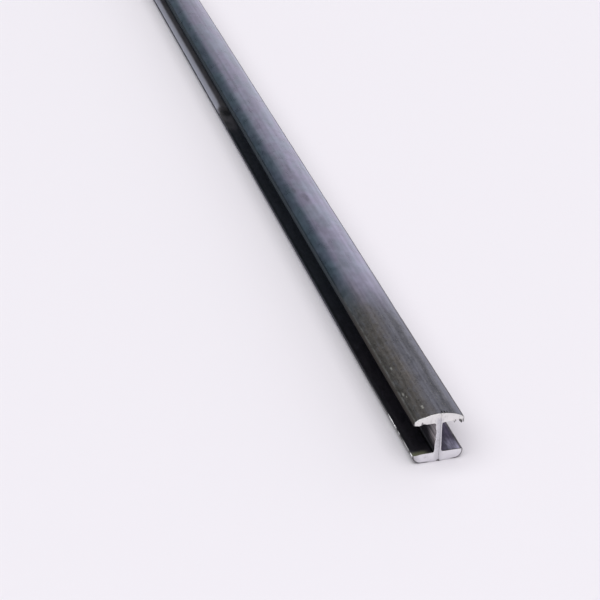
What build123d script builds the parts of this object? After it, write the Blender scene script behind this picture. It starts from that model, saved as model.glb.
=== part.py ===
"""Lead came: one straight length of H section stock for leaded glass.

Two flanges stand on a heart, one above the other, with a glass channel on each side. The upper one has a
crowned face and thin lips that turn in towards the glass. The lower one lies on the floor at Z = 0 on a flat
sole with round corners, and thins a little towards its lips. The length runs along X. The +X end was nipped
off by hand, so it comes to a low ridge along the heart, and the ridge's foot is dragged up off the floor. The
-X end is cut square.
"""

import os

from build123d import *

# The section, in millimetres
face_width = 8.0  # across each flange, lip to lip
channel_height = 5.2  # between the flanges, at the heart
heart_thickness = 1.0
heart_fillet = 0.3
sole_thickness = 1.7  # the lower flange, at the heart
sole_lip_fall = 0.15  # the lower flange's inner face falls this much from the heart to each lip
sole_round = 1.35
crown_rise = 1.25  # from the upper flange's lips to the middle of its face
lip_thickness = 0.55
lip_turn_in = 0.1  # the upper lips' inner edges hang this far below the flange's root
lip_round = 0.12

# The length, and the nipped end
stock_length = 914.4  # a three-foot half length
nip_setback = 0.15  # the lips end this far behind the ridge that the two blades leave
nip_foot_lift = 0.12  # the blades dragged the foot of that ridge up by this much
nip_overrun = 1.0  # the blades' cut is wider and taller than the section by this much

# What follows from them
half_face = face_width / 2
half_heart = heart_thickness / 2
channel_floor = sole_thickness  # heights from here on are above the floor
channel_roof = channel_floor + channel_height
sole_lip = channel_floor - sole_lip_fall
lip_inner_edge = channel_roof - lip_turn_in
lip_outer_edge = lip_inner_edge + lip_thickness
crown_top = lip_outer_edge + crown_rise
lip_fillet = min(lip_round, 0.4 * lip_thickness)
sole_fillet = min(sole_round, 0.95 * (sole_lip - lip_fillet))
ridge_x = stock_length / 2

square_end = Plane(origin=(-stock_length / 2, 0, 0), x_dir=(0, 1, 0), z_dir=(1, 0, 0))


def draw_section():
    """The H section on the square end, drawn up from the middle of the sole."""
    with BuildSketch(square_end) as section:
        with BuildLine():
            Polyline(
                (-half_face, 0),
                (half_face, 0),
                (half_face, sole_lip),
                (half_heart, channel_floor),
                (-half_heart, channel_floor),
                (-half_face, sole_lip),
                close=True,
            )
        make_face()
        Rectangle(heart_thickness, channel_roof, align=(Align.CENTER, Align.MIN))
        with BuildLine():
            ThreePointArc((-half_face, lip_outer_edge), (0, crown_top), (half_face, lip_outer_edge))
            Polyline(
                (half_face, lip_outer_edge),
                (half_face, lip_inner_edge),
                (half_heart, channel_roof),
                (-half_heart, channel_roof),
                (-half_face, lip_inner_edge),
                (-half_face, lip_outer_edge),
            )
        make_face()
        sole_corners = section.vertices().group_by(Axis.Y)[0]
        fillet(sole_corners, sole_fillet)
        lip_corners = section.vertices().filter_by(is_lip_corner)
        fillet(lip_corners, lip_fillet)
        heart_corners = section.vertices().filter_by(is_heart_corner)
        fillet(heart_corners, heart_fillet)
    return section


def is_lip_corner(corner):
    """True at the ends of the flanges, above where the sole's round corners end."""
    return abs(corner.X) > half_face - lip_fillet / 2 and corner.Y > sole_fillet + lip_fillet / 2


def is_heart_corner(corner):
    """True where the heart meets a flange."""
    return abs(corner.X) < half_heart + lip_fillet / 2


def draw_nip_waste():
    """What the two blades take off, in plan: a wedge on each side of the ridge."""
    reach = half_face + nip_overrun
    cut_back = nip_setback * reach / half_face
    with BuildSketch(Plane.XY) as waste:
        with BuildLine():
            Polyline((ridge_x, 0), (ridge_x, reach), (ridge_x - cut_back, reach), close=True)
        make_face()
        mirror(about=Plane.XZ)
    return waste


def draw_foot_waste():
    """What is missing under the ridge, seen from the side: a thin wedge as wide as the sole's flat."""
    wedge_back = nip_setback * (half_face - sole_fillet) / half_face
    overrun_lift = nip_foot_lift * (wedge_back + nip_overrun) / wedge_back
    with BuildSketch(Plane.XZ) as waste:
        with BuildLine():
            Polyline(
                (ridge_x - wedge_back, 0),
                (ridge_x + nip_overrun, 0),
                (ridge_x + nip_overrun, overrun_lift),
                close=True,
            )
        make_face()
    return waste


def build_came():
    """One solid: the section run along the length, with the nipped end cut."""
    section = draw_section()
    waste = draw_nip_waste()
    foot_waste = draw_foot_waste()
    with BuildPart() as came:
        extrude(section.sketch, amount=stock_length)
        extrude(waste.sketch, amount=crown_top + nip_overrun, both=True, mode=Mode.SUBTRACT)
        extrude(foot_waste.sketch, amount=half_face + nip_overrun, both=True, mode=Mode.SUBTRACT)
    came.part.label = "came"
    return came


came = build_came()
os.makedirs("parts", exist_ok=True)
export_step(came.part, "parts/came.step")
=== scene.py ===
"""A length of lead came, with its drawn finish and its nipped end, on a pale studio floor.

The came lies along X with its nipped end at +X. Its flat sole is on the floor at Z = 0.
"""

import math
from dataclasses import dataclass
from functools import cached_property

import bmesh
import bpy
from bpy.props import FloatProperty, FloatVectorProperty, PointerProperty
from mathutils import Matrix, Vector


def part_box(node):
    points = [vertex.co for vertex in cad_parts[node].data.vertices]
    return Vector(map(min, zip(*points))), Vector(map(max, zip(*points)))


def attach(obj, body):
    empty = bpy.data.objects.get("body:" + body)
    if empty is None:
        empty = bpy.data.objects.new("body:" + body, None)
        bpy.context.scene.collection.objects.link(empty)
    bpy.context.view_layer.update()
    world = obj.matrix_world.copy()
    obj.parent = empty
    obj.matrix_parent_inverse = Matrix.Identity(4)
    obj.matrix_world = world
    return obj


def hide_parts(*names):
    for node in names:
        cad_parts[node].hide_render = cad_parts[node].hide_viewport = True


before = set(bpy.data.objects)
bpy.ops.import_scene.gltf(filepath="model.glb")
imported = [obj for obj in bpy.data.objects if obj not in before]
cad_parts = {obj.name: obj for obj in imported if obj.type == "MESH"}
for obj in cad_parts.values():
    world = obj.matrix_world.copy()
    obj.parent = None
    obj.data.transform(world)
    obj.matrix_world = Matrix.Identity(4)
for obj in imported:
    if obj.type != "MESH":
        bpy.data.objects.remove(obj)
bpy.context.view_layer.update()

bl_info = {
    "name": "Lead Came",
    "version": (1, 0, 0),
    "blender": (4, 5, 0),
    "location": "3D View > Sidebar > Lead Came",
    "description": "A length of H section lead came and the studio floor that it lies on",
    "category": "Add Mesh",
}

CAME_LOW, CAME_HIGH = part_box("came")
STOCK_LENGTH = CAME_HIGH.x - CAME_LOW.x
FACE_WIDTH = CAME_HIGH.y - CAME_LOW.y
HALF_FACE = FACE_WIDTH / 2
OVERALL_HEIGHT = CAME_HIGH.z
MM = 0.001
TOUCH = 2e-6  # two places this near each other are the same place, in metres
SQUARE_ON = 0.9  # a face whose normal has at least this much of a direction faces that way
ALONG = 0.999  # an edge with this share of its length along an axis is parallel to it

# The order of the came's materials
DRAWN, CHANNEL, CUT, DROPLET = range(4)

# Rings along the length, in metres from the nipped end: the first, then each zone's far border and spacing
FIRST_RING = 0.0005
RING_ZONES = (
    (0.012, 0.00025),
    (0.060, 0.0006),
    (0.220, 0.0010),
    (STOCK_LENGTH - 0.010, 0.003),
    (STOCK_LENGTH, 0.001),
)


def length_value(name, description, default):
    """A length in metres that a user may change."""
    return FloatProperty(
        name=name, description=description, default=default, min=0, unit="LENGTH", precision=5
    )


def colour_value(name, description, default):
    """A linear colour that a user may change."""
    return FloatVectorProperty(
        name=name, description=description, default=default, min=0, max=1, subtype="COLOR"
    )


def plain_value(name, description, default, low=0):
    """A plain number that a user may change."""
    return FloatProperty(name=name, description=description, default=default, min=low)


class CameSection(bpy.types.PropertyGroup):
    """The H section's own sizes. Its width, height and length come from the frame."""

    channel_height: length_value("Channel height", "Between the flanges, at the heart", 0.0052)
    heart_thickness: length_value("Heart thickness", "Across the heart", 0.0010)
    heart_fillet: length_value("Heart fillet", "Radius where the heart meets a flange", 0.0003)
    sole_thickness: length_value("Sole thickness", "The lower flange, from the floor to the channel", 0.0017)
    sole_lip_fall: length_value("Sole lip fall", "How much the lower flange thins towards its lips", 0.00015)
    sole_round: length_value("Sole round", "Radius of the sole's lower corners", 0.00135)
    lip_thickness: length_value("Lip thickness", "The upper flange, at its lips", 0.00055)
    lip_turn_in: length_value("Lip turn-in", "How far the upper lips hang below the flange's root", 0.0001)
    lip_round: length_value("Lip round", "Radius of the lips' corners", 0.00012)
    die_line: length_value("Die line", "Depth of the line inside each upper lip", 0.00002)

    @property
    def half_heart(self):
        """From the middle to the heart's side."""
        return self.heart_thickness / 2

    @property
    def channel_roof(self):
        """From the floor to the upper flange, at the heart."""
        return self.sole_thickness + self.channel_height


class NippedEnd(bpy.types.PropertyGroup):
    """What the nippers did to the near end."""

    ridge_back: length_value("Ridge set back", "From the end of the stock to the ridge", 0.00015)
    setback: length_value("Lips' set back", "The lips end this far behind the ridge", 0.00015)
    foot_lift: length_value("Foot lift", "How far the ridge's foot was dragged off the floor", 0.00012)
    seam_low: length_value("Seam at the sole", "How far right the blades met, at the sole", 0.00010)
    seam_high: length_value("Seam at the crown", "How far right the blades met, at the crown", 0.00034)
    seam_width: length_value("Seam width", "Across the groove between the two blades' cuts", 0.00010)
    seam_depth: length_value("Seam depth", "Depth of that groove", 0.00006)
    rolled_edge: length_value("Rolled edge", "The cut's edge is rounded by this much", 0.00006)


class LeadFinish(bpy.types.PropertyGroup):
    """The colours of lead as it was drawn, tarnished and cut, and of the light and shade painted on it."""

    clean: colour_value("Clean lead", "Drawn lead that has been rubbed", (0.44, 0.435, 0.57))
    tarnish: colour_value("Tarnish", "Drawn lead that has dulled", (0.33, 0.33, 0.43))
    # The teal film along the left lip: partly real film and partly painted dark reflection
    teal_film_and_reflection: colour_value("Teal film", "The bluish green film along the left lip", (0.225, 0.285, 0.385))
    # The brown and grey films near the cut are partly real film and partly darkened as painted shade
    brown_film_and_shade: colour_value("Brown film", "The film near the cut, on the left", (0.25, 0.226, 0.214))
    grey_film_and_shade: colour_value("Grey film", "The duller film near the cut, on the right", (0.165, 0.165, 0.195))
    crumbs: colour_value("Crumbs", "Pale crumbs in the film near the nipped end", (0.26, 0.25, 0.24))
    scuff: colour_value("Scuffs", "Small bright scuffs on the crown", (0.8, 0.78, 0.72))
    # A lighter line along the left lip
    light_lip_line: colour_value("Rubbed lip", "The rubbed line along the left lip", (0.52, 0.51, 0.50))
    side: colour_value("Sole's side", "The film on the lower flange's left side", (0.075, 0.075, 0.086))
    lip: colour_value("Lip", "The dark film on the upper lips' edges", (0.040, 0.047, 0.055))
    # Painted highlights: bare lead on the lower flange's left edge, painted white as glints
    glint: colour_value("Glints", "Bare lead on the lower flange's left edge", (1.0, 1.0, 1.0))
    channel: colour_value("Channel", "The dark film in the left glass channel", (0.10, 0.092, 0.115))
    cool_channel: colour_value("Far channel", "The film in both channels, far back", (0.125, 0.138, 0.17))
    # The brownish film on the heart's streaks, lightened as painted light near the channel's open end and in
    # the lit smear far back
    brown_film_and_light: colour_value("Web", "The brownish film on the heart, inside the left channel", (0.66, 0.59, 0.60))
    bare_corner: colour_value("Bare corner", "Thin film in the left channel's corner", (0.36, 0.35, 0.32))
    # Painted reflection: the pale patch far back in the left channel
    painted_reflection_patch: colour_value("Pale patch", "The rubbed patch far back, on the left", (0.62, 0.62, 0.74))
    open_channel: colour_value("Open channel", "The film in the right glass channel", (0.117, 0.096, 0.163))
    # Painted light: the right channel's floor lighter by the cut's open end
    painted_mouth_light: colour_value("Open edge", "The right channel's rubbed floor, by the cut", (0.50, 0.48, 0.64))
    olive: colour_value("Olive film", "The film on the lower flange, by its cut", (0.155, 0.16, 0.10))
    fresh: colour_value("Fresh cut", "Bright lead where the nippers went through", (0.82, 0.81, 0.84))
    smeared: colour_value("Smeared cut", "Warmer lead on the upper flange's cut", (0.82, 0.81, 0.79))
    worn: colour_value("Worn cut", "Duller lead on the heart's cut", (0.60, 0.595, 0.62))
    # Painted shade: the dark line round the cut's corners and in its notches, and the dark lines in the
    # right channel
    painted_shade: colour_value("Dirt", "The dark line round the cut's corners and in its nicks", (0.11, 0.10, 0.11))
    bead: colour_value("Droplets", "The grey droplets on the cut's lower edge", (0.36, 0.35, 0.35))


class StudioLight(bpy.types.PropertyGroup):
    """The floor, the lights and the camera."""

    floor_size: length_value("Floor size", "Each side of the square floor", 60)
    floor_colour: colour_value("Floor", "The floor's colour", (0.86, 0.82, 0.87))
    floor_roughness: plain_value("Floor roughness", "How matt the floor is", 0.8)
    key_strength: plain_value("Key strength", "The soft lamp overhead", 2.42)
    key_spread: plain_value("Key spread", "Its width across the sky, in degrees", 80, low=1)
    dim_side: plain_value("Dim side", "The room's light from the left", 0.10)
    middle: plain_value("Middle", "The room's light from the front, the back and above", 0.42)
    bright_side: plain_value("Bright side", "The room's light from the right", 0.95)
    horizon: plain_value("Horizon", "The pale light all round, low down", 0.92)
    left_tint: colour_value("Left tint", "The colour of the room's light from the left", (0.75, 0.98, 1.0))
    room_tint: colour_value("Room tint", "The colour of the room's light from elsewhere", (0.97, 0.97, 1.0))
    lens: plain_value("Lens", "Focal length in millimetres", 98.6, low=1)
    azimuth: FloatProperty(name="Azimuth", description="Camera's bearing, in degrees", default=74.97)
    elevation: FloatProperty(name="Elevation", description="Camera's angle up, in degrees", default=29.65)
    roll: FloatProperty(name="Roll", description="Camera's roll, in degrees", default=0.12)
    distance: length_value("Distance", "From the camera to the nipped end, along its view", 0.2485)
    end_pixel: FloatVectorProperty(
        name="End pixel", description="Where the sole's middle at the nipped end is seen", size=2,
        default=(437.5, 461.2),
    )


@dataclass
class Mark:
    """A soft-edged oval on the came, in millimetres from the nipped end and right of the middle."""

    back: float
    right: float
    half_length: float
    half_width: float
    strength: float


@dataclass
class Spot:
    """A soft-edged oval on the cut, in millimetres right of the middle and up from the floor."""

    right: float
    up: float
    half_width: float
    half_height: float
    strength: float


@dataclass
class Push:
    """A place on the nipped end that is pushed, in millimetres: back from the end, right and up.

    The place moves by the three lengths in move, and what lies within reach of it follows less and less.
    """

    back: float
    right: float
    up: float
    move: tuple
    reach: float


@dataclass
class Droplet:
    """A hanging ball of lead, in millimetres: its middle, back from the end, right and up, and its size."""

    back: float
    right: float
    up: float
    width: float
    height: float


# Dull smudges on the far crown
SMUDGES = (
    Mark(89.3, -0.1, 2.2, 0.5, 0.20),
    Mark(79.6, -1.5, 1.6, 0.45, 0.22),
    Mark(76.0, -0.2, 2.4, 0.6, 0.22),
    Mark(84.0, 0.6, 5.0, 1.0, 0.10),
    Mark(66.0, 0.8, 3.0, 0.9, 0.10),
)
# A lighter streak of painted sheen down the near crown, and a darker streak beside it
SHEEN_STREAKS = (
    Mark(8.0, 0.05, 7.5, 0.75, -0.13),
    Mark(9.0, 1.85, 7.0, 0.60, 0.13),
)
# Painted shade in the nicks in the crown's edge, where the blades met
NICK_SHADE = (
    Mark(0.60, 0.44, 0.40, 0.16, 0.95),
    Mark(0.60, 0.86, 0.44, 0.17, 1.00),
    Mark(0.60, 1.28, 0.38, 0.15, 0.85),
)
# Bright scuffs on the near crown
SCUFFS = (
    Mark(15.0, -2.84, 0.45, 0.20, 0.55),
    Mark(7.7, -3.25, 0.55, 0.14, 0.50),
    Mark(6.9, -3.0, 0.35, 0.10, 0.45),
    Mark(3.0, -1.8, 0.50, 0.24, 0.50),
)
# Painted glints: bare lead along the lower flange's left edge, painted white as highlights
GLINTS = (
    Mark(0.9, -3.95, 0.9, 0.30, 1.0),
    Mark(3.3, -3.95, 2.1, 0.24, 0.5),
    Mark(6.9, -3.95, 0.50, 0.28, 0.6),
    Mark(8.7, -3.95, 0.75, 0.32, 0.7),
    Mark(10.7, -3.95, 1.7, 0.26, 1.0),
)
# A painted shadow spot far back in the left channel
FAR_SHADOW_SPOT = Mark(134.8, -2.3, 3.4, 1.5, 0.75)
# Painted shade on the cut: the shadow under the seam's lifted foot, and the shade in the notch inside the
# left lip
SEAM_FOOT_SHADOW = Spot(0.06, 0.12, 0.30, 0.22, 0.95)
LIP_NOTCH_SHADE = Spot(-2.62, 6.95, 0.20, 0.46, 0.85)

# Droplets of lead along the lower edge of the right upper lip's cut
DROPLETS = (
    Droplet(0.27, 2.60, 6.92, 0.20, 0.44),
    Droplet(0.25, 2.40, 6.72, 0.26, 0.34),
    Droplet(0.28, 3.24, 6.84, 0.26, 0.46),
    Droplet(0.24, 3.48, 6.66, 0.38, 0.54),
    Droplet(0.29, 3.83, 6.72, 0.26, 0.62),
)
PUSHES = (
    # The blade pressed the heart's left side in at its middle, and it bulges above and below
    Push(0.2, -0.5, 6.40, (0, -0.05, 0), 0.5),
    Push(0.2, -0.5, 5.60, (0, 0.07, 0), 0.5),
    Push(0.2, -0.5, 4.95, (0, 0.11, 0), 0.5),
    Push(0.2, -0.5, 4.45, (0, 0.02, 0), 0.25),
    Push(0.2, -0.5, 4.10, (0, 0.08, 0), 0.35),
    Push(0.2, -0.5, 2.95, (0, -0.10, 0), 0.7),
    Push(0.2, -0.5, 2.00, (0, -0.12, 0), 0.6),
    # The upper flange's lips are drawn down, with a notch inside the left one
    Push(0.2, -3.95, 6.80, (0, 0, 0.10), 0.4),
    Push(0.2, -3.0, 6.80, (0, 0, -0.10), 0.5),
    Push(0.2, -2.5, 6.85, (0, 0, 0.16), 0.18),
    Push(0.12, -2.0, 8.10, (0, 0, -0.04), 0.7),
    Push(0.3, 3.7, 6.80, (0, 0, -0.07), 0.5),
    # The lower flange is dragged down at its left lip
    Push(0.3, -3.5, 1.50, (0, 0, -0.12), 1.0),
    # Nicks along the crown's edge, the deepest where the blades met, and one at the seam's foot
    Push(0.15, 0.34, 8.60, (-0.14, 0, -0.05), 0.20),
    Push(0.15, -0.25, 8.60, (-0.08, 0, -0.04), 0.18),
    Push(0.15, 0.80, 8.55, (-0.08, 0, -0.04), 0.18),
    Push(0.15, 0.10, 0.00, (-0.10, 0, 0.04), 0.15),
)


# Selecting and moving in edit mode


def shape():
    """The mesh that is open in edit mode."""
    return bmesh.from_edit_mesh(bpy.context.edit_object.data)


def pick(kind, passes):
    """Selects the vertices, edges or faces that pass, and nothing else."""
    bpy.ops.mesh.select_all(action="DESELECT")
    bpy.ops.mesh.select_mode(type=kind)
    mesh = shape()
    found = [e for e in {"VERT": mesh.verts, "EDGE": mesh.edges, "FACE": mesh.faces}[kind] if passes(e)]
    for element in found:
        element.select_set(True)
    mesh.select_flush_mode()
    bmesh.update_edit_mesh(bpy.context.edit_object.data)
    if not found:
        raise RuntimeError("nothing to select for this step of the came")


def middle(edge):
    """The place halfway along an edge."""
    return (edge.verts[0].co + edge.verts[1].co) / 2


def runs_along(edge, axis):
    """True for an edge parallel to that axis, 0 for X, 1 for Y and 2 for Z."""
    run = edge.verts[1].co - edge.verts[0].co
    return abs(run[axis]) > ALONG * run.length


def same(a, b):
    """True where two lengths agree."""
    return abs(a - b) < TOUCH


def move(x=0.0, y=0.0, z=0.0):
    """Moves what is selected."""
    bpy.ops.transform.translate(value=(x, y, z))


def push(x, y, z, reach):
    """Moves what is selected, and what lies within reach of it less and less."""
    bpy.ops.transform.translate(
        value=(x, y, z),
        use_proportional_edit=True,
        proportional_edit_falloff="SMOOTH",
        proportional_size=reach,
    )


def extrude(y=0.0, z=0.0):
    """Pulls the selected faces out."""
    bpy.ops.mesh.extrude_region_move(TRANSFORM_OT_translate={"value": (0, y, z)})


def cut(place, normal, **options):
    """Cuts through everything with a plane."""
    bpy.ops.mesh.select_all(action="SELECT")
    bpy.ops.mesh.bisect(plane_co=place, plane_no=normal, threshold=1e-7, **options)


def round_off(passes, radius, segments):
    """Rounds the edges that pass."""
    pick("EDGE", passes)
    bpy.ops.mesh.bevel(offset=radius, segments=segments, profile=0.5, clamp_overlap=False)


def split_strips(passes, cuts):
    """Divides the crosswise edges that pass, so that the faces between them become narrow strips."""
    pick("EDGE", lambda e: not runs_along(e, 0) and passes(middle(e), e))
    bpy.ops.mesh.subdivide(number_cuts=cuts)


# The came's mesh


def at_a_lip(edge, height):
    """True for an edge that runs along one of the flanges' lips at this height."""
    at = middle(edge)
    return runs_along(edge, 0) and same(abs(at.y), HALF_FACE) and same(at.z, height)


def block_out(s):
    """The square-edged H: a bar for the sole, with the heart and the upper flange extruded from it."""
    bpy.ops.mesh.primitive_cube_add(
        size=1,
        location=((CAME_LOW.x + CAME_HIGH.x) / 2, 0, s.sole_thickness / 2),
        scale=(STOCK_LENGTH, FACE_WIDTH, s.sole_thickness),
    )
    bpy.ops.object.transform_apply(location=True, rotation=False, scale=True)
    bpy.ops.object.mode_set(mode="EDIT")
    for side in (-1, 1):
        cut((0, side * s.half_heart, 0), (0, 1, 0))
    pick("FACE", lambda f: f.normal.z > SQUARE_ON and abs(f.calc_center_median().y) < s.half_heart)
    extrude(z=s.channel_height)
    extrude(z=OVERALL_HEIGHT - s.channel_roof)
    for side in (-1, 1):
        pick("FACE", lambda f: side * f.normal.y > SQUARE_ON and f.calc_center_median().z > s.channel_roof)
        extrude(y=side * (HALF_FACE - s.half_heart))
    pick("EDGE", lambda e: at_a_lip(e, s.channel_roof))
    move(z=-s.lip_turn_in)
    pick("EDGE", lambda e: at_a_lip(e, s.sole_thickness))
    move(z=-s.sole_lip_fall)


def crown_the_face(s):
    """Lowers the upper flange's face towards its lips along an arc, with a die line inside each lip."""
    rise = OVERALL_HEIGHT - s.sole_thickness - s.channel_height + s.lip_turn_in - s.lip_thickness
    radius = (HALF_FACE**2 + rise**2) / (2 * rise)
    split_strips(lambda m, e: same(m.z, OVERALL_HEIGHT) and abs(m.y) > s.half_heart, cuts=10)
    split_strips(lambda m, e: same(m.z, OVERALL_HEIGHT) and abs(m.y) < s.half_heart, cuts=3)
    lines = sorted({round(abs(v.co.y), 7) for v in shape().verts if same(v.co.z, OVERALL_HEIGHT)})
    for line in lines:
        pick("VERT", lambda v: same(v.co.z, OVERALL_HEIGHT) and same(abs(v.co.y), line))
        groove = s.die_line if line == lines[-2] else 0
        move(z=math.sqrt(radius**2 - line**2) - radius - groove)


def round_the_corners(s):
    """Rounds the sole, the lips and the corners where the heart meets the flanges."""
    lowest_lip = s.sole_thickness - s.sole_lip_fall - TOUCH

    def at_the_heart(edge):
        at = middle(edge)
        at_a_flange = same(at.z, s.sole_thickness) or same(at.z, s.channel_roof)
        return runs_along(edge, 0) and same(abs(at.y), s.half_heart) and at_a_flange

    def above_the_sole(edge):
        at = middle(edge)
        return runs_along(edge, 0) and same(abs(at.y), HALF_FACE) and at.z > lowest_lip

    round_off(lambda e: at_a_lip(e, 0), s.sole_round, segments=8)
    round_off(above_the_sole, s.lip_round, segments=3)
    round_off(at_the_heart, s.heart_fillet, segments=3)


def make_strips(s):
    """Divides the flat faces along the length into strips that can wave and dent."""
    wide = FACE_WIDTH / 5
    floor, roof = s.sole_thickness, s.channel_roof
    split_strips(lambda m, e: same(m.z, 0) and e.calc_length() > wide, cuts=6)
    split_strips(lambda m, e: floor - s.sole_lip_fall < m.z < floor and e.calc_length() > wide, cuts=7)
    split_strips(lambda m, e: roof - s.lip_turn_in < m.z < roof and e.calc_length() > wide, cuts=7)
    split_strips(
        lambda m, e: same(abs(m.y), s.half_heart) and runs_along(e, 2) and e.calc_length() > wide, cuts=11
    )


def nip_the_end(s, n):
    """The two blades' cuts, which leave a low ridge with a lifted foot, and the groove where they met."""
    lean = (n.seam_high - n.seam_low) / OVERALL_HEIGHT
    ridge = Vector((CAME_HIGH.x - n.ridge_back, n.seam_low, 0))
    slope = n.setback / HALF_FACE
    at_the_ridge = n.rolled_edge * 1.5
    close = TOUCH * 5
    for side in (-1, 1):
        cut(ridge, (1, side * slope, -side * slope * lean), clear_outer=True, use_fill=True)
    wedge_back = slope * (HALF_FACE - s.sole_round)
    cut((ridge.x - wedge_back, 0, 0), (n.foot_lift, 0, -wedge_back), clear_outer=True, use_fill=True)

    def on_the_rim(edge):
        on_the_cut = [face.normal.x > SQUARE_ON for face in edge.link_faces]
        return any(on_the_cut) and not all(on_the_cut)

    def on_the_seam(edge, reach):
        at = middle(edge)
        beside = abs(at.y - n.seam_low - lean * at.z)
        return beside < close and at.x > ridge.x - reach and not runs_along(edge, 0)

    round_off(on_the_rim, n.rolled_edge, segments=2)
    round_off(lambda e: on_the_seam(e, at_the_ridge), n.seam_width / 2, segments=2)
    pick("EDGE", lambda e: on_the_seam(e, n.seam_width))
    move(x=-n.seam_depth)


def cut_rings(zones):
    """Cuts the length into rings, closer together near the nipped end."""
    most_cuts = 100  # the subdivide operator's limit
    start = FIRST_RING
    cut((CAME_HIGH.x - start, 0, 0), (1, 0, 0))
    for reach, spacing in zones:
        reach = min(reach, STOCK_LENGTH)
        pieces = max(1, math.ceil((reach - start) / spacing / most_cuts))
        for i in range(pieces):
            near = CAME_HIGH.x - start - (reach - start) * i / pieces
            far = CAME_HIGH.x - start - (reach - start) * (i + 1) / pieces
            if far > CAME_LOW.x + TOUCH:
                cut((far, 0, 0), (1, 0, 0))
            pick("EDGE", lambda e: runs_along(e, 0) and far < middle(e).x < near)
            bpy.ops.mesh.subdivide(number_cuts=max(1, round((near - far) / spacing) - 1))
        start = reach


def push_the_end(pushes):
    """Drags, nicks and bulges that the nippers left at the end."""
    for mark in pushes:
        place = Vector((CAME_HIGH.x - mark.back * MM, mark.right * MM, mark.up * MM))
        nearest = min(shape().verts, key=lambda v: (v.co - place).length_squared).index
        pick("VERT", lambda v: v.index == nearest)
        push(*(step * MM for step in mark.move), mark.reach * MM)


def add_droplets(droplets):
    """Small hanging droplets of lead on the cut, each a stretched ball, all left selected."""
    before = len(shape().verts)
    for ball in droplets:
        bpy.ops.mesh.primitive_uv_sphere_add(
            segments=16, ring_count=10, radius=ball.width * MM / 2,
            location=(CAME_HIGH.x - ball.back * MM, ball.right * MM, ball.up * MM),
            scale=(1, 1, ball.height / ball.width),
        )
    pick("VERT", lambda v: v.index >= before)


def wear(came, name, passes, grain, depth, along="NORMAL"):
    """Moves the vertices that pass by a fine cloudy pattern, and only inwards or down."""
    group = came.vertex_groups.new(name=name)
    group.add([v.index for v in came.data.vertices if passes(v.co)], 1.0, "REPLACE")
    texture = bpy.data.textures.new(name, "CLOUDS")
    texture.noise_scale = grain
    worn = came.modifiers.new(name, "DISPLACE")
    worn.texture, worn.vertex_group = texture, name
    worn.direction, worn.strength, worn.mid_level = along, depth, 1.0
    bpy.ops.object.modifier_apply(modifier=name)
    came.vertex_groups.clear()


def wear_the_edges(came, s):
    """Slow waves along the upper flange and its lips, and nicks along the lower flange's near left lip."""
    floor = s.sole_thickness
    lip_reach, nick_reach = 0.5 * MM, 0.3 * MM
    farthest_nick = CAME_HIGH.x - 25 * MM
    nearest_nick = CAME_HIGH.x - 0.6 * MM

    def on_the_upper_flange(c):
        return c.z > floor + s.channel_height / 2

    def on_a_lip(c):
        return abs(c.y) > HALF_FACE - lip_reach and c.z > floor

    def on_the_lower_left_lip(c):
        near_the_edge = c.y < -HALF_FACE + nick_reach and floor * 0.8 < c.z < floor * 1.1
        return near_the_edge and farthest_nick < c.x < nearest_nick

    wear(came, "waves", on_the_upper_flange, grain=9 * MM, depth=0.06 * MM)
    wear(came, "lip_waves", on_a_lip, grain=2.5 * MM, depth=0.05 * MM, along="Z")
    wear(came, "lower_lip_nicks", on_the_lower_left_lip, grain=0.5 * MM, depth=0.16 * MM, along="Z")


def paint(came, s):
    """Gives the channels and the two cut ends their own materials."""
    bpy.ops.object.mode_set(mode="EDIT")
    margin, dragged_down = 0.06 * MM, 0.20 * MM
    cut_line, turned_to_the_cut = CAME_HIGH.x - 0.42 * MM, 0.3

    def in_a_channel(face):
        at = face.calc_center_median()
        out = abs(at.y) / HALF_FACE
        low, high = s.sole_thickness - s.sole_lip_fall * out, s.channel_roof - s.lip_turn_in * out
        return low - dragged_down < at.z < high + margin and abs(at.y) < HALF_FACE - margin

    def on_a_cut(face):
        nipped = face.calc_center_median().x > cut_line and face.normal.x > turned_to_the_cut
        return nipped or face.normal.x < -SQUARE_ON

    for slot, passes in ((CHANNEL, in_a_channel), (CUT, on_a_cut)):
        pick("FACE", passes)
        came.active_material_index = slot
        bpy.ops.object.material_slot_assign()
    came.active_material_index = DRAWN


class LEADCAME_OT_came(bpy.types.Operator):
    """Model the came as one mesh and give it its finish"""

    bl_idname = "leadcame.came"
    bl_label = "Came"

    def execute(self, context):
        section, nipped = context.scene.came_section, context.scene.nipped_end
        finish = context.scene.lead_finish
        bpy.ops.object.select_all(action="DESELECT")
        block_out(section)
        crown_the_face(section)
        round_the_corners(section)
        make_strips(section)
        nip_the_end(section, nipped)
        cut_rings(RING_ZONES)
        push_the_end(PUSHES)
        bpy.ops.object.mode_set(mode="OBJECT")
        came = context.object
        came.name = came.data.name = "lead_came"
        for material in (drawn_lead(finish), channel_lead(finish), cut_lead(finish), bead_lead(finish)):
            came.data.materials.append(material)
        paint(came, section)
        add_droplets(DROPLETS)
        came.active_material_index = DROPLET
        bpy.ops.object.material_slot_assign()
        came.active_material_index = DRAWN
        bpy.ops.object.mode_set(mode="OBJECT")
        wear_the_edges(came, section)
        bpy.ops.object.shade_smooth_by_angle(angle=math.radians(35))
        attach(came, "root")
        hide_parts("came")
        print("came", len(came.data.vertices), "vertices", len(came.data.polygons), "faces")
        return {"FINISHED"}


# Materials


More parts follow.
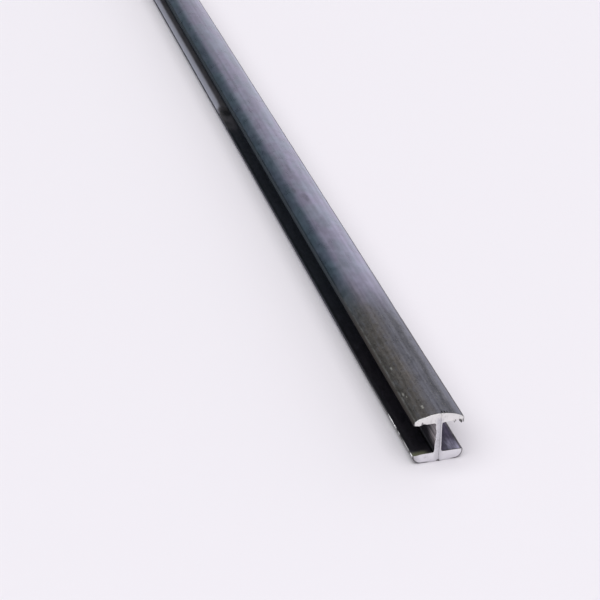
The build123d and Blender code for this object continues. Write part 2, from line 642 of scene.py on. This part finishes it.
class NodeSheet:
    """A tree's nodes, joined as they are added."""

    def __init__(self, tree):
        self.tree = tree

    def add(self, kind, inputs=None, **settings):
        """Adds a node, with its inputs fed and its settings set."""
        node = self.tree.nodes.new("ShaderNode" + kind)
        for name, value in settings.items():
            setattr(node, name, value)
        self.feed(node, inputs or {})
        return node

    def feed(self, node, inputs):
        """Links each socket to its input, and sets each plain value on its input."""
        for name, value in inputs.items():
            if isinstance(value, bpy.types.NodeSocket):
                self.tree.links.new(value, node.inputs[name])
            else:
                node.inputs[name].default_value = value

    def math(self, operation, a, b=0.0, c=0.0):
        """A value worked out from up to three others."""
        return self.add("Math", {0: a, 1: b, 2: c}, operation=operation).outputs[0]

    def times(self, first, *others):
        """All the values multiplied together."""
        for other in others:
            first = self.math("MULTIPLY", first, other)
        return first

    def most(self, first, *others):
        """The largest of the values."""
        for other in others:
            first = self.math("MAXIMUM", first, other)
        return first

    def shift(self, value, by, amount):
        """The value plus this amount of another, which makes a border wander or slant."""
        return self.math("MULTIPLY_ADD", by, amount, value)

    def remainder(self, value):
        """What is left of 1 when the value is taken away."""
        return self.math("SUBTRACT", 1.0, value)

    def squares(self, a, b):
        """The sum of two values' squares."""
        return self.math("ADD", self.times(a, a), self.times(b, b))

    def ramp(self, value, start, end, low=0.0, high=1.0):
        """Goes smoothly from low at start to high at end."""
        inputs = {"Value": value, "From Min": start, "From Max": end, "To Min": low, "To Max": high}
        return self.add("MapRange", inputs, interpolation_type="SMOOTHSTEP").outputs[0]

    def fade(self, value, start, end, high=1.0):
        """Goes smoothly from high at start to 0 at end."""
        return self.ramp(value, start, end, high, 0)

    def band(self, value, centre, half_width):
        """1 at the centre, falling to 0 at half_width on each side."""
        away = self.math("ABSOLUTE", self.math("SUBTRACT", value, centre))
        return self.fade(away, 0, half_width)

    def mix(self, factor, a, b, blend="MIX"):
        """Colour a where the factor is 0 and colour b where it is 1."""
        a, b = (c if isinstance(c, bpy.types.NodeSocket) else (*c, 1) for c in (a, b))
        return self.add("Mix", {0: factor, 6: a, 7: b}, data_type="RGBA", blend_type=blend).outputs[2]

    def darken(self, colour, amount):
        """Takes this share of the colour away, and adds it where the amount is negative."""
        inputs = {0: colour, "Scale": self.remainder(amount)}
        return self.add("VectorMath", inputs, operation="SCALE").outputs[0]


class LeadSheet(NodeSheet):
    """A NodeSheet for one of the came's materials, with each place on the came in millimetres."""

    def __init__(self, name):
        self.material = bpy.data.materials.new(name)
        self.material.use_nodes = True
        super().__init__(self.material.node_tree)
        self.shader = self.tree.nodes["Principled BSDF"]
        self.place = self.add("TexCoord").outputs["Object"]
        x, y, z = self.add("SeparateXYZ", {0: self.place}).outputs
        self.back = self.math("MULTIPLY_ADD", x, -1 / MM, CAME_HIGH.x / MM)
        self.right = self.math("MULTIPLY", y, 1 / MM)
        self.up = self.math("MULTIPLY", z, 1 / MM)

    @cached_property
    def out(self):
        """How far each place is from the middle, to either side."""
        return self.math("ABSOLUTE", self.right)

    @cached_property
    def upper(self):
        """1 on the upper flange."""
        return self.ramp(self.up, 5.5, 6.2)

    @cached_property
    def lower(self):
        """1 on the lower flange."""
        return self.ramp(self.up, 3.0, 2.0)

    @cached_property
    def behind(self):
        """How far each place is behind the nipped end's cut."""
        nipped = bpy.context.scene.nipped_end
        cut_line = self.math("MULTIPLY_ADD", self.out, nipped.setback / HALF_FACE, nipped.ridge_back / MM)
        return self.math("SUBTRACT", self.back, cut_line)

    def noise(self, scale, detail=2.0, roughness=0.5):
        """Noise with this many cells per metre along the came, across it and up."""
        stretched = self.add("Mapping", {"Vector": self.place, "Scale": scale}).outputs[0]
        inputs = {"Vector": stretched, "Scale": 1.0, "Detail": detail, "Roughness": roughness}
        return self.add("TexNoise", inputs).outputs[0]

    def share(self, value, centre, half):
        """How far a value is from a centre, as a share of the way to the edge."""
        return self.math("DIVIDE", self.math("SUBTRACT", value, centre), half)

    def spot(self, spot):
        """A soft oval on the cut."""
        across = self.share(self.right, spot.right, spot.half_width)
        above = self.share(self.up, spot.up, spot.half_height)
        return self.fade(self.squares(across, above), 0.4, 1.1, spot.strength)

    def marks(self, marks, ragged=None):
        """All the marks together, with edges made uneven by a noise if one is given."""
        total = 0.0
        for mark in marks:
            along = self.share(self.back, mark.back, mark.half_length)
            across = self.share(self.right, mark.right, mark.half_width)
            away = self.math("SQRT", self.squares(along, across))
            if ragged:
                away = self.math("ADD", away, self.math("MULTIPLY_ADD", ragged, 1.6, -0.8))
            total = self.math("ADD", self.fade(away, 0.3, 1.1, mark.strength), total)
        return total

    def shade(self, colour, roughness, relief, depth, metallic=1.0):
        """Feeds the shader, with a relief of this depth, and gives the material back."""
        normal = self.add("Bump", {"Height": relief, "Strength": 1.0, "Distance": depth}).outputs[0]
        look = {"Base Color": colour, "Roughness": roughness, "Normal": normal, "Metallic": metallic}
        self.feed(self.shader, look)
        return self.material


# The materials give places in millimetres: back from the nipped end, right of the middle, up from the floor


def far_lead(sheet, finish, lines, mottle):
    """Clean and dulled lead in long streaks, with the teal film along the left lip, which is partly painted
    dark reflection, and painted shade by the lip.
    """
    warmer, cooler = (1.02, 0.96, 1.0), (0.97, 1.02, 1.0)
    rubbed = sheet.math("ADD", sheet.times(lines, 0.5), sheet.times(mottle, 0.5))
    colour = sheet.mix(sheet.ramp(rubbed, 0.36, 0.64), finish.tarnish, finish.clean)
    # The teal on the crown's left third is partly film and partly painted dark reflection
    left = sheet.times(sheet.fade(sheet.right, -2.75, -1.2), sheet.upper)
    colour = sheet.mix(sheet.times(left, 0.8), colour, finish.teal_film_and_reflection)
    # Painted shade: the far crown is darker towards its left lip
    by_the_lip = sheet.ramp(sheet.right, -3.45, -3.85, high=0.7)
    colour = sheet.darken(colour, sheet.times(by_the_lip, sheet.upper))
    streaks = sheet.noise((35, 900, 900))
    colour = sheet.darken(colour, sheet.ramp(streaks, 0.34, 0.64, 0.11, -0.04))
    hue = sheet.ramp(sheet.noise((160, 420, 420)), 0.36, 0.64)
    return sheet.mix(1.0, colour, sheet.mix(hue, warmer, cooler), "MULTIPLY")


def near_film_and_shade(sheet, finish, cloud, grain):
    """The film near the nipped end, brown on the left and grey on the right, with grains and streaks; its
    darkness is partly painted shade, and it carries painted shade and a painted highlight.
    """
    lighter_grey = finish.grey_film_and_shade * 1.25
    wander = sheet.shift(sheet.right, cloud, 3.0)
    film = sheet.mix(sheet.ramp(wander, -0.4, 1.8), finish.brown_film_and_shade, finish.grey_film_and_shade)
    # Painted shade: a darker band towards the right edge
    film = sheet.darken(film, sheet.times(sheet.band(wander, 3.3, 1.1), 0.35))
    # Painted shade: darker towards the left
    film = sheet.darken(film, sheet.ramp(sheet.right, -0.2, -2.0, high=0.36))
    # Painted highlight: lighter towards the right edge
    film = sheet.mix(sheet.ramp(sheet.right, 2.5, 3.1, high=0.30), film, finish.tarnish)
    film = sheet.mix(sheet.ramp(grain, 0.50, 0.66, high=0.40), film, lighter_grey)
    film = sheet.darken(film, sheet.ramp(grain, 0.48, 0.32, high=0.25))
    speckle = sheet.ramp(sheet.noise((1800, 2600, 2600), 3, 0.7), 0.54, 0.70)
    film = sheet.darken(film, sheet.times(speckle, 0.40))
    brushed = sheet.noise((45, 2400, 2400))
    film = sheet.darken(film, sheet.ramp(brushed, 0.34, 0.66, 0.16, -0.10))
    # Painted sheen: a lighter streak down the near crown, and a darker one beside it
    film = sheet.darken(film, sheet.marks(SHEEN_STREAKS))
    crumbs = sheet.ramp(sheet.noise((2000, 2400, 2400), 2, 0.6), 0.56, 0.70, high=0.35)
    return sheet.mix(crumbs, film, finish.crumbs)


def line_the_lips(sheet, finish, colour, near, grain):
    """The die lines, darkened as painted shade, a lighter line along the left lip, and the dark edges along
    the upper lips. Returns the colour, and 1 on those edges.
    """
    # Painted shade in the die lines' groove, and a darker line inside the far left lip
    groove = sheet.times(sheet.band(sheet.out, 3.55, 0.22), sheet.upper)
    colour = sheet.darken(colour, sheet.times(groove, 0.10))
    painted_line_shade = sheet.times(sheet.band(sheet.right, -3.66, 0.20), sheet.ramp(near, 0, 1, 0.42, 0.0))
    colour = sheet.darken(colour, sheet.times(painted_line_shade, sheet.upper))
    edge = sheet.times(sheet.ramp(sheet.out, 3.66, 3.82), sheet.upper)
    colour = sheet.mix(edge, colour, sheet.mix(near, finish.lip, sheet.darken(finish.brown_film_and_shade, 0.80)))
    # A lighter line along the left lip, near the cut
    rubbed = sheet.times(sheet.band(sheet.right, -3.60, 0.13), sheet.upper, near)
    rubbed = sheet.times(rubbed, sheet.ramp(grain, 0.38, 0.60, 0.06, 0.36))
    return sheet.mix(rubbed, colour, finish.light_lip_line), edge


def darken_the_sole(sheet, finish, colour, cloud):
    """The darker lower flange, with its dull left side. Returns the colour, and 1 on that side."""
    colour = sheet.darken(colour, sheet.ramp(sheet.up, 5.0, 4.0, high=0.55))
    inner_edge = sheet.times(sheet.ramp(sheet.out, 3.6, 3.8), sheet.band(sheet.up, 1.55, 0.5))
    colour = sheet.darken(colour, sheet.times(inner_edge, 0.5))
    side = sheet.times(sheet.ramp(sheet.right, -3.6, -3.9), sheet.ramp(sheet.up, 2.2, 1.9))
    side = sheet.times(side, sheet.ramp(sheet.shift(sheet.back, cloud, 8), 8, 26))
    return sheet.mix(sheet.times(side, 0.8), colour, finish.side), side


def mark_the_nip(sheet, finish, colour, mottle):
    """Painted shade on the crown's rim, along its right edge and in its nicks, and the bright burr beside
    the cut. Returns the colour, and 1 on the burr.
    """
    # Painted shade along the crown's rim at the cut
    colour = sheet.darken(colour, sheet.times(sheet.fade(sheet.behind, 0.16, 0.36, 0.45), sheet.upper))
    # Painted shade along the crown's right edge, near the cut
    right_edge = sheet.times(sheet.ramp(sheet.right, 3.78, 3.88), sheet.fade(sheet.back, 10, 20, 0.7))
    colour = sheet.darken(colour, sheet.times(right_edge, sheet.upper))
    # Painted shade in the nicks
    colour = sheet.darken(colour, sheet.marks(NICK_SHADE))
    by_the_lip = sheet.times(sheet.ramp(sheet.right, -2.2, -3.2), sheet.ramp(sheet.right, -3.84, -3.70))
    by_the_cut = sheet.fade(sheet.shift(sheet.behind, mottle, 0.2), 0.30, 0.42)
    burr = sheet.times(by_the_lip, sheet.upper, by_the_cut)
    return sheet.mix(burr, colour, finish.fresh), burr


def drawn_lead(finish):
    """Lead as the die left it, duller and browner towards the nipped end, partly as painted shade, with
    painted shade, sheen and glints along its lips and cut edge.
    """
    sheet = LeadSheet("drawn_lead")
    fine = sheet.noise((60, 6000, 6000))
    lines = sheet.noise((14, 1500, 1500), 3)
    mottle = sheet.noise((420, 620, 620), 3, 0.55)
    cloud = sheet.noise((90, 260, 260), 3)
    hatch = sheet.noise((3200, 500, 500))
    grain = sheet.noise((600, 1700, 1700), 3, 0.6)
    near = sheet.fade(sheet.shift(sheet.back, cloud, 14), 34, 56)
    colour = sheet.mix(near, far_lead(sheet, finish, lines, mottle), near_film_and_shade(sheet, finish, cloud, grain))
    colour = sheet.darken(colour, sheet.marks(SMUDGES, mottle))
    colour = sheet.mix(sheet.marks(SCUFFS, hatch), colour, finish.scuff)
    colour, lip_edge = line_the_lips(sheet, finish, colour, near, grain)
    colour, side = darken_the_sole(sheet, finish, colour, cloud)
    colour, burr = mark_the_nip(sheet, finish, colour, mottle)
    # Painted glints: bare lead along the lower flange's left edge, painted white as highlights
    glints = sheet.marks(GLINTS, sheet.noise((2600, 2600, 2600)))
    glints = sheet.math("MINIMUM", sheet.times(glints, sheet.band(sheet.up, 1.40, 0.45)), 1.0)
    colour = sheet.mix(glints, colour, finish.glint)
    rough = sheet.math("ADD", sheet.ramp(mottle, 0.3, 0.7, 0.27, 0.34), sheet.times(near, 0.14))
    relief = sheet.math("ADD", sheet.times(fine, 0.5), sheet.times(lines, 0.7))
    relief = sheet.math("ADD", relief, sheet.times(mottle, sheet.ramp(near, 0, 1, 0.04, 0.9)))
    dull = sheet.most(lip_edge, side)
    not_metal = sheet.most(glints, sheet.times(burr, 0.7), dull)
    sheet.feed(sheet.shader, {"Specular IOR Level": sheet.math("MULTIPLY_ADD", dull, -0.5, 0.5)})
    return sheet.shade(colour, rough, relief, 0.012 * MM, sheet.remainder(not_metal))


def open_side(sheet, finish):
    """The film in the right channel, with painted light by the cut's open end and a painted shade border
    behind the cut and along the channel's right edge.
    """
    film = sheet.mix(sheet.ramp(sheet.back, 12, 45), finish.open_channel, finish.cool_channel)
    # Painted light: lighter near the channel's open end
    painted_light_share = sheet.times(sheet.fade(sheet.back, 0.3, 4.5), sheet.ramp(sheet.right, 0.8, 2.6))
    film = sheet.mix(painted_light_share, film, finish.painted_mouth_light)
    film = sheet.darken(film, sheet.ramp(sheet.noise((500, 3600, 900)), 0.55, 0.40, high=0.30))
    # Painted shade: a dark line behind the cut and along the channel's right edge
    painted_shade_border = sheet.most(sheet.fade(sheet.behind, 0.14, 0.36), sheet.ramp(sheet.right, 3.52, 3.72))
    return sheet.mix(sheet.times(painted_shade_border, 0.85), film, finish.painted_shade)


def paint_shade_in_the_corners(sheet, finish, colour):
    """Painted shade in the left channel's outer corner, deeper in from the cut, bare lead by the cut, and
    painted shade in its inner corner by the heart.
    """
    # Painted shade: the outer corner darker deeper in from the cut
    corner = sheet.times(sheet.ramp(sheet.right, -3.2, -3.7), sheet.lower)
    colour = sheet.darken(colour, sheet.times(corner, sheet.ramp(sheet.back, 1.0, 3.0, high=0.5)))
    bare = sheet.times(corner, sheet.fade(sheet.behind, 0.4, 1.0, 0.6))
    colour = sheet.mix(bare, colour, finish.bare_corner)
    # Painted shade in the inner corner where the heart meets the lower flange
    fillet = sheet.times(sheet.band(sheet.right, -0.75, 0.35), sheet.ramp(sheet.up, 2.3, 2.0))
    return sheet.darken(colour, sheet.times(fillet, 0.8))


def patch_the_far_floor(sheet, finish, colour, mottle):
    """Painted light far back on the left: a lighter smear, a painted shadow spot and a pale patch of painted
    reflection. Returns the colour and the two light ones.
    """
    patchy = sheet.noise((260, 700, 700), 3)
    # Painted light: a lighter smear on the far channel floor
    lit_smear = sheet.ramp(sheet.shift(sheet.back, patchy, 14), 128, 139)
    lit_smear = sheet.times(lit_smear, sheet.ramp(sheet.right, -1.3, -1.9), sheet.lower, 0.42)
    colour = sheet.mix(lit_smear, colour, finish.brown_film_and_light)
    # Painted shadow: a dark spot beside the pale patch
    colour = sheet.darken(colour, sheet.times(sheet.marks((FAR_SHADOW_SPOT,), mottle), sheet.lower))
    slanted = sheet.shift(sheet.back, sheet.right, -3.0)
    # Painted reflection: the pale patch far back
    pale_reflection = sheet.ramp(sheet.shift(slanted, patchy, 8), 149, 154, high=0.85)
    pale_reflection = sheet.times(pale_reflection, sheet.ramp(sheet.right, -2.3, -3.1), sheet.lower)
    return sheet.mix(pale_reflection, colour, finish.painted_reflection_patch), lit_smear, pale_reflection


def channel_lead(finish):
    """The dark film inside the glass channels, with the die's lines, painted light near the cut, painted
    shade in the corners, and painted light and reflection far back.
    """
    sheet = LeadSheet("channel_lead")
    lines = sheet.noise((20, 2600, 2600), 3)
    mottle = sheet.noise((500, 900, 900), 3)
    shut_side = sheet.mix(sheet.ramp(sheet.back, 25, 60), finish.channel, finish.cool_channel)
    colour = sheet.mix(sheet.ramp(sheet.right, -0.3, 0.3), shut_side, open_side(sheet, finish))
    colour = sheet.darken(colour, sheet.ramp(mottle, 0.35, 0.65, high=0.35))
    # Painted light: the heart's die streaks lighter near the channel's open end
    near_web = sheet.times(sheet.fade(sheet.back, 1.0, 4.2), sheet.ramp(sheet.up, 1.9, 3.6))
    left_web = sheet.times(near_web, sheet.band(sheet.right, -0.5, 0.25))
    streak = sheet.math("MULTIPLY_ADD", sheet.ramp(lines, 0.42, 0.66), 0.75, 0.25)
    colour = sheet.mix(sheet.times(streak, left_web), colour, finish.brown_film_and_light)
    colour = paint_shade_in_the_corners(sheet, finish, colour)
    olive = sheet.times(sheet.fade(sheet.back, 0.5, 1.7), sheet.ramp(sheet.right, -1.0, -2.3), sheet.lower)
    colour = sheet.mix(olive, colour, finish.olive)
    colour, lit_smear, pale_reflection = patch_the_far_floor(sheet, finish, colour, mottle)
    lip_edge = sheet.times(sheet.ramp(sheet.out, 3.3, 3.7), sheet.upper)
    colour = sheet.mix(lip_edge, colour, finish.lip)
    lit_web_share, lit_smear_share = sheet.times(left_web, 0.4), sheet.times(lit_smear, 0.2)
    not_metal = sheet.most(pale_reflection, sheet.times(olive, 0.7), lit_web_share, lit_smear_share)
    rough = sheet.ramp(mottle, 0.3, 0.7, 0.35, 0.5)
    return sheet.shade(colour, rough, lines, 0.02 * MM, sheet.remainder(not_metal))


def painted_shade_on_the_cut(sheet):
    """Painted shade: the dark line round the lower flange's corners, the shadow under the seam's lifted
    foot, and the dark notch and lip ends on the upper flange's cut.
    """
    sole_round = bpy.context.scene.came_section.sole_round
    corner_right, corner_up = (HALF_FACE - sole_round) / MM, sole_round / MM
    past_corner = sheet.most(sheet.math("SUBTRACT", sheet.out, corner_right), 0.0)
    below_corner = sheet.most(sheet.math("SUBTRACT", corner_up, sheet.up), 0.0)
    from_corner = sheet.math("SQRT", sheet.squares(past_corner, below_corner))
    off_the_seam = sheet.math("ABSOLUTE", sheet.math("SUBTRACT", sheet.right, 0.3))
    sides = sheet.ramp(off_the_seam, 1.3, 2.4, 0.2, 0.85)
    round_the_sole = sheet.times(sheet.ramp(from_corner, 1.09, 1.22), sheet.lower, sides)
    left_end = sheet.ramp(sheet.right, -3.72, -3.86, high=0.85)
    right_end = sheet.ramp(sheet.right, 3.78, 3.90, high=0.6)
    lip_ends = sheet.times(sheet.math("ADD", right_end, left_end), sheet.ramp(sheet.up, 6.0, 6.5))
    painted_shade = sheet.most(round_the_sole, sheet.spot(SEAM_FOOT_SHADOW), sheet.spot(LIP_NOTCH_SHADE), lip_ends)
    at_the_nipped_end = sheet.ramp(sheet.back, 2, 1)
    return sheet.times(painted_shade, at_the_nipped_end)


def cut_lead(finish):
    """Bright lead on the two cut ends, duller on the heart, with the blades' upright drag marks and painted
    shade round its corners and in its notches.
    """
    sheet = LeadSheet("cut_lead")
    drag = sheet.noise((800, 4200, 900), 3)
    mottle = sheet.noise((1800, 1800, 1800), 3, 0.6)
    specks = sheet.noise((4500, 4500, 4500))
    heart = sheet.times(sheet.band(sheet.right, 0.05, 0.9), sheet.ramp(sheet.up, 8.3, 7.2))
    heart = sheet.times(heart, sheet.ramp(sheet.up, 1.5, 3.5, 0.6, 1))
    colour = sheet.mix(sheet.ramp(sheet.up, 5.0, 7.0), finish.fresh, finish.smeared)
    colour = sheet.mix(heart, colour, finish.worn)
    colour = sheet.darken(colour, sheet.ramp(mottle, 0.5, 0.75, high=0.18))
    colour = sheet.darken(colour, sheet.times(heart, sheet.ramp(specks, 0.60, 0.70, high=0.40)))
    # Painted shade round the cut's corners and in its notches
    colour = sheet.mix(painted_shade_on_the_cut(sheet), colour, finish.painted_shade)
    dull_lip = sheet.times(sheet.ramp(sheet.right, -2.6, -3.7, high=0.30), sheet.lower)
    colour = sheet.darken(colour, dull_lip)
    relief = sheet.math("ADD", drag, sheet.times(mottle, 0.6))
    return sheet.shade(colour, 0.3, relief, 0.01 * MM)


def bead_lead(finish):
    """Grey lead on the droplets, with painted shade making the middle one of the three at the lip's end
    darkest.
    """
    sheet = LeadSheet("bead_lead")
    mottle = sheet.noise((3000, 3000, 3000))
    colour = sheet.darken(finish.bead, sheet.ramp(mottle, 0.4, 0.7, high=0.3))
    # Painted shade on the middle droplet, in the gap between its neighbours
    colour = sheet.darken(colour, sheet.times(sheet.band(sheet.right, 3.46, 0.36), 0.75))
    return sheet.shade(colour, 0.4, mottle, 0.01 * MM, 0.5)


def pale_floor(studio):
    """The floor's plain matt material."""
    material = bpy.data.materials.new("pale_floor")
    material.use_nodes = True
    shader = material.node_tree.nodes["Principled BSDF"]
    shader.inputs["Base Color"].default_value = (*studio.floor_colour, 1)
    shader.inputs["Roughness"].default_value = studio.floor_roughness
    return material


# The studio


def light_the_room(studio):
    """Room light: dim on the left, brightest low on the right at the back, and pale at the horizon."""
    world = bpy.data.worlds.new("studio_room")
    bpy.context.scene.world = world
    world.use_nodes = True
    sheet = NodeSheet(world.node_tree)
    front, right, up = sheet.add("SeparateXYZ", {0: sheet.add("TexCoord").outputs["Generated"]}).outputs
    left_border = (-0.14, 0.04)
    room = sheet.ramp(right, *left_border, studio.dim_side, studio.middle)
    low_and_far_back = sheet.times(sheet.fade(up, 0.5, 0.75), sheet.fade(front, -0.2, 0.3))
    bright = sheet.ramp(right, 0.0, 0.62, high=studio.bright_side - studio.middle)
    room = sheet.math("ADD", room, sheet.times(bright, low_and_far_back))
    horizon = sheet.fade(sheet.math("ABSOLUTE", up), 0.06, 0.20)
    strength = sheet.most(room, sheet.times(horizon, studio.horizon))
    colour = sheet.mix(sheet.ramp(right, *left_border), studio.left_tint, studio.room_tint)
    colour = sheet.mix(horizon, colour, studio.room_tint)
    sheet.feed(world.node_tree.nodes["Background"], {"Color": colour, "Strength": strength})


def hang_the_key(studio):
    """One very wide lamp overhead, a little to the came's left and past its nipped end."""
    towards_the_lamp = Vector((0.12, -0.22, 1.0))
    bpy.ops.object.light_add(type="SUN")
    key = bpy.context.object
    key.name = "key_lamp"
    key.data.energy, key.data.angle = studio.key_strength, math.radians(studio.key_spread)
    key.rotation_euler = towards_the_lamp.to_track_quat("Z", "Y").to_euler()


def aim_camera(studio):
    """Stands the camera so that the nipped end is seen at its pixel of a 600 by 600 frame."""
    frame_pixels, sensor = 600, 36.0
    azimuth, elevation, roll = (math.radians(v) for v in (studio.azimuth, studio.elevation, studio.roll))
    level = math.cos(elevation)
    ahead = Vector((-math.sin(azimuth) * level, math.cos(azimuth) * level, -math.sin(elevation)))
    right = Vector((math.cos(azimuth), math.sin(azimuth), 0))
    above = right.cross(ahead)
    right, above = (
        math.cos(roll) * right + math.sin(roll) * above,
        math.cos(roll) * above - math.sin(roll) * right,
    )
    focal = studio.lens / sensor * frame_pixels
    across = (studio.end_pixel[0] - frame_pixels / 2) / focal * studio.distance
    up = (frame_pixels / 2 - studio.end_pixel[1]) / focal * studio.distance
    nipped_end = Vector((CAME_HIGH.x - bpy.context.scene.nipped_end.ridge_back, 0, 0))
    stand = nipped_end - right * across - above * up - ahead * studio.distance
    bpy.ops.object.camera_add()
    camera = bpy.context.object
    camera.name = "photo_camera"
    camera.data.lens, camera.data.sensor_width = studio.lens, sensor
    camera.data.clip_start, camera.data.clip_end = 0.01, 100
    camera.matrix_world = Matrix.Translation(stand) @ Matrix((right, above, -ahead)).transposed().to_4x4()
    bpy.context.scene.camera = camera


class LEADCAME_OT_studio(bpy.types.Operator):
    """Lay the pale floor, and set the lights and the camera"""

    bl_idname = "leadcame.studio"
    bl_label = "Studio"

    def execute(self, context):
        studio = context.scene.studio_light
        bpy.ops.object.select_all(action="DESELECT")
        bpy.ops.mesh.primitive_plane_add(size=studio.floor_size, location=(0, 0, 0))
        floor = context.object
        floor.name = "studio_floor"
        floor.data.materials.append(pale_floor(studio))
        light_the_room(studio)
        hang_the_key(studio)
        aim_camera(studio)
        context.scene.view_settings.view_transform = "Standard"
        return {"FINISHED"}


# What the sidebar lists: each operator, and the groups of values that it uses
SIDEBAR = (
    ("leadcame.came", ("came_section", "nipped_end", "lead_finish")),
    ("leadcame.studio", ("studio_light",)),
)


class LEADCAME_PT_sidebar(bpy.types.Panel):
    """The came's pieces and their sizes"""

    bl_idname = "LEADCAME_PT_sidebar"
    bl_label = "Lead Came"
    bl_space_type = "VIEW_3D"
    bl_region_type = "UI"
    bl_category = "Lead Came"

    def draw(self, context):
        for operator, groups in SIDEBAR:
            box = self.layout.box()
            box.operator(operator)
            for group in (getattr(context.scene, name) for name in groups):
                for value in group.__annotations__:
                    box.prop(group, value)


GROUPS = {
    "came_section": CameSection,
    "nipped_end": NippedEnd,
    "lead_finish": LeadFinish,
    "studio_light": StudioLight,
}
CLASSES = (*GROUPS.values(), LEADCAME_OT_came, LEADCAME_OT_studio, LEADCAME_PT_sidebar)


def register():
    for cls in CLASSES:
        bpy.utils.register_class(cls)
    for name, group in GROUPS.items():
        setattr(bpy.types.Scene, name, PointerProperty(type=group))


def unregister():
    for name in GROUPS:
        delattr(bpy.types.Scene, name)
    for cls in reversed(CLASSES):
        bpy.utils.unregister_class(cls)


def main():
    """Builds the came and its studio."""
    register()
    bpy.ops.leadcame.came()
    bpy.ops.leadcame.studio()


if __name__ == "__main__":
    main()
